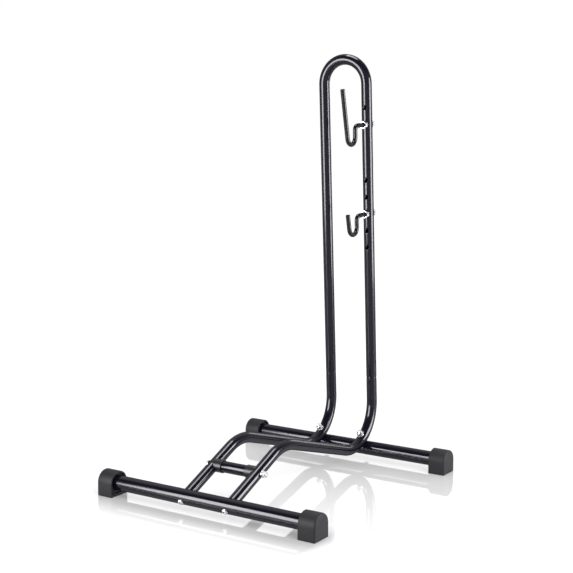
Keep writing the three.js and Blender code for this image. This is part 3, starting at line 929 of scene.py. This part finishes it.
# ---- floor ----
# A plain white, slightly glossy studio floor, with a little glow of its own so that it reads as
# white where no shadow falls. It mirrors the rack most behind it and along the front base tube,
# less in between, and not at all from 0.75 m out. From steeply above the mirror hardly shows.
FLOOR_HALF = 12.0
FLOOR_STEPS = 13
FLOOR_WHITE = 0.92
FLOOR_MIRROR = 0.58
FLOOR_MIRROR_REACH = 0.65
FLOOR_MIRROR_FRONT = 0.12
FLOOR_MIRROR_NEAR = 0.03
FLOOR_MIRROR_SIDE = 0.03
FLOOR_MIRROR_ROUND = 0.4
FLOOR_MIRROR_END = 0.75
FLOOR_MIRROR_STEEP = 0.1
FLOOR_MIRROR_ROUGHNESS = 0.04
FLOOR_MIRROR_ON_GLOSS = 0.11
SLANT_STEEP = 0.3
SLANT_LOW = 0.65
FLOOR_GLOW = 0.29
FLOOR_GLOW_LOSS = 0.5

spread = np.linspace(-FLOOR_HALF, FLOOR_HALF, FLOOR_STEPS)
floor_x, floor_y = np.meshgrid(spread, spread)
floor_points = np.stack([floor_x, floor_y, 0 * floor_x], -1).reshape(-1, 3)
floor_faces = quads(np.arange(FLOOR_STEPS**2).reshape(FLOOR_STEPS, FLOOR_STEPS))
floor_mesh = bpy.data.meshes.new("studio_floor")
floor_mesh.from_pydata(floor_points.tolist(), [], floor_faces.tolist())
floor = bpy.data.objects.new("studio_floor", floor_mesh)
bpy.context.scene.collection.objects.link(floor)

shade = Shade("studio_floor")
ray = shade.add("ShaderNodeLightPath").outputs
direct = Number(shade, ray["Is Camera Ray"])
seen = direct.larger(ray["Is Transmission Ray"]).larger(ray["Is Glossy Ray"])
place = shade.add("ShaderNodeTexCoord").outputs["Object"]
distance = shade.add("ShaderNodeVectorMath", {"operation": "LENGTH"}, {0: place}).outputs["Value"]
place = shade.add("ShaderNodeSeparateXYZ", {}, {0: place}).outputs
sideways, depth = abs(Number(shade, place[0])), place[1]
side_x = cad_box[1][0]
rear_y, front_y = rear_axis[1] * MM, front_axis[1] * MM
behind = shade.fade(depth, rear_y - FLOOR_MIRROR_REACH, rear_y, 0.0, FLOOR_MIRROR)
before = shade.fade(depth, front_y - FLOOR_MIRROR_FRONT, front_y - FLOOR_MIRROR_NEAR, 0.0, FLOOR_MIRROR)
hidden = shade.fade(depth, front_y, front_y + FLOOR_MIRROR_FRONT, 1.0, 0.0)
inside = shade.fade(sideways, side_x, side_x + FLOOR_MIRROR_SIDE, 1.0, 0.0)
around = shade.fade(distance, FLOOR_MIRROR_ROUND, FLOOR_MIRROR_END, 1.0, 0.0)
slant = shade.fade(shade.slant(), SLANT_STEEP, SLANT_LOW, FLOOR_MIRROR_STEEP, 1.0)
beside = behind.larger(before * hidden * inside)
mirrored = direct * slant * around * beside + (1 - direct) * FLOOR_MIRROR_ON_GLOSS
matt = shade.add("ShaderNodeBsdfDiffuse", {}, {"Color": (FLOOR_WHITE, FLOOR_WHITE, FLOOR_WHITE, 1)})
mirror = shade.add("ShaderNodeBsdfGlossy", {}, {"Roughness": FLOOR_MIRROR_ROUGHNESS})
paint = shade.add("ShaderNodeMixShader", {}, {0: mirrored, 1: matt.outputs[0], 2: mirror.outputs[0]})
glow = shade.add("ShaderNodeEmission", {}, {"Strength": FLOOR_GLOW * seen * (1 - FLOOR_GLOW_LOSS * mirrored)})
whole = shade.add("ShaderNodeAddShader", {}, {0: paint.outputs[0], 1: glow.outputs[0]})
shade.add("ShaderNodeOutputMaterial", {}, {"Surface": whole.outputs[0]})
floor_mesh.materials.append(shade.owner)

# ---- studio ----
# The camera stands in front and to the right, a little above the rack, in a room that is white to
# it. Gloss sees grey walls low down and a white sweep behind and above. Two standing soft boxes,
# one overhead and one behind draw the lines of gloss, and a soft light fills in the right side.
CAMERA_PLACE = (1.16816, -1.73642, 0.62910)
CAMERA_YAW = np.radians(33.791)
CAMERA_PITCH = np.radians(7.794)
FOCAL_PIXELS = 1241.48
IMAGE_PIXELS = 573
SENSOR_WIDTH = 36.0
ROOM_DIFFUSE = 0.85
ROOM_DARK = 0.05
WALL_GREY = 0.6
WALL_FULL = np.sin(np.radians(24))
WALL_TOP = np.sin(np.radians(40))
BACKDROP_MIDDLE = np.radians(35)
BACKDROP_EDGE = np.cos(np.radians(58))
BACKDROP_FULL = np.cos(np.radians(38))
LIGHT_TINT = (0.975, 0.970, 1.0)

camera_data = bpy.data.cameras.new("camera")
camera_data.sensor_width = SENSOR_WIDTH
camera_data.lens = FOCAL_PIXELS / IMAGE_PIXELS * SENSOR_WIDTH
camera = bpy.data.objects.new("camera", camera_data)
camera.location = CAMERA_PLACE
camera.rotation_euler = (np.pi / 2 - CAMERA_PITCH, 0, CAMERA_YAW)
bpy.context.scene.collection.objects.link(camera)
bpy.context.scene.camera = camera
bpy.context.scene.view_settings.view_transform = "Standard"

world = bpy.data.worlds.new("studio")
bpy.context.scene.world = world
shade = Shade("studio", world)
ray = shade.add("ShaderNodeLightPath").outputs
straight = Number(shade, ray["Is Camera Ray"]).larger(ray["Is Transmission Ray"])
gloss = Number(shade, ray["Is Glossy Ray"])
way = shade.add("ShaderNodeTexCoord").outputs["Generated"]
height = shade.add("ShaderNodeSeparateXYZ", {}, {0: way}).outputs[2]
flat = np.cos(BACKDROP_MIDDLE)
middle_way = (-np.sin(CAMERA_YAW) * flat, np.cos(CAMERA_YAW) * flat, np.sin(BACKDROP_MIDDLE))
near = shade.add("ShaderNodeVectorMath", {"operation": "DOT_PRODUCT"}, {0: way, 1: middle_way})
wall = shade.fade(height, WALL_TOP, WALL_FULL, ROOM_DARK, WALL_GREY, eased=True)
sweep = shade.fade(near.outputs["Value"], BACKDROP_EDGE, BACKDROP_FULL, ROOM_DARK, 1.0, eased=True)
room = wall.larger(sweep)
level = straight + (1 - straight) * (gloss * room + (1 - gloss) * ROOM_DIFFUSE)
background = shade.add("ShaderNodeBackground", {}, {"Color": (1, 1, 1, 1), "Strength": level})
shade.add("ShaderNodeOutputWorld", {}, {"Surface": background.outputs[0]})


def soft_box(name, place, turns, size, radiance, for_gloss=True):
    """A rectangular soft light at a place in metres, turned about X and then about Z from facing
    down. Its power is pi times its area times its radiance. It lights gloss only or the rest only."""
    data = bpy.data.lights.new(name, "AREA")
    data.shape = "RECTANGLE"
    data.size, data.size_y = size
    data.energy = np.pi * size[0] * size[1] * radiance
    data.color = LIGHT_TINT
    light = bpy.data.objects.new(name, data)
    light.location = place
    light.rotation_euler = np.radians(turns)
    light.visible_camera = False
    light.visible_diffuse = not for_gloss
    light.visible_glossy = for_gloss
    bpy.context.scene.collection.objects.link(light)


def standing(azimuth, distance, middle_height):
    """The place of a light that stands at an azimuth, 0 in front and 90 on the right."""
    turn = np.radians(azimuth)
    return distance * np.sin(turn), -distance * np.cos(turn), middle_height


soft_box("left_gloss_box", standing(-24, 2.2, 0.66), (90, 0, -24), (1.25, 1.32), 32.0)
soft_box("right_gloss_box", standing(113, 2.2, 0.65), (90, 0, 96), (1.2, 1.3), 31.0)
soft_box("overhead_gloss_box", (-0.17, 0.3, 2.2), (0, 0, 0), (0.85, 0.85), 19.0)
soft_box("rear_gloss_box", standing(181, 2.6, 0.9), (90, 0, 181), (1.0, 1.2), 5.0)
soft_box("right_soft_light", standing(70, 2.4, 1.8), (90, 0, 70), (1.8, 1.6), 5.4, for_gloss=False)
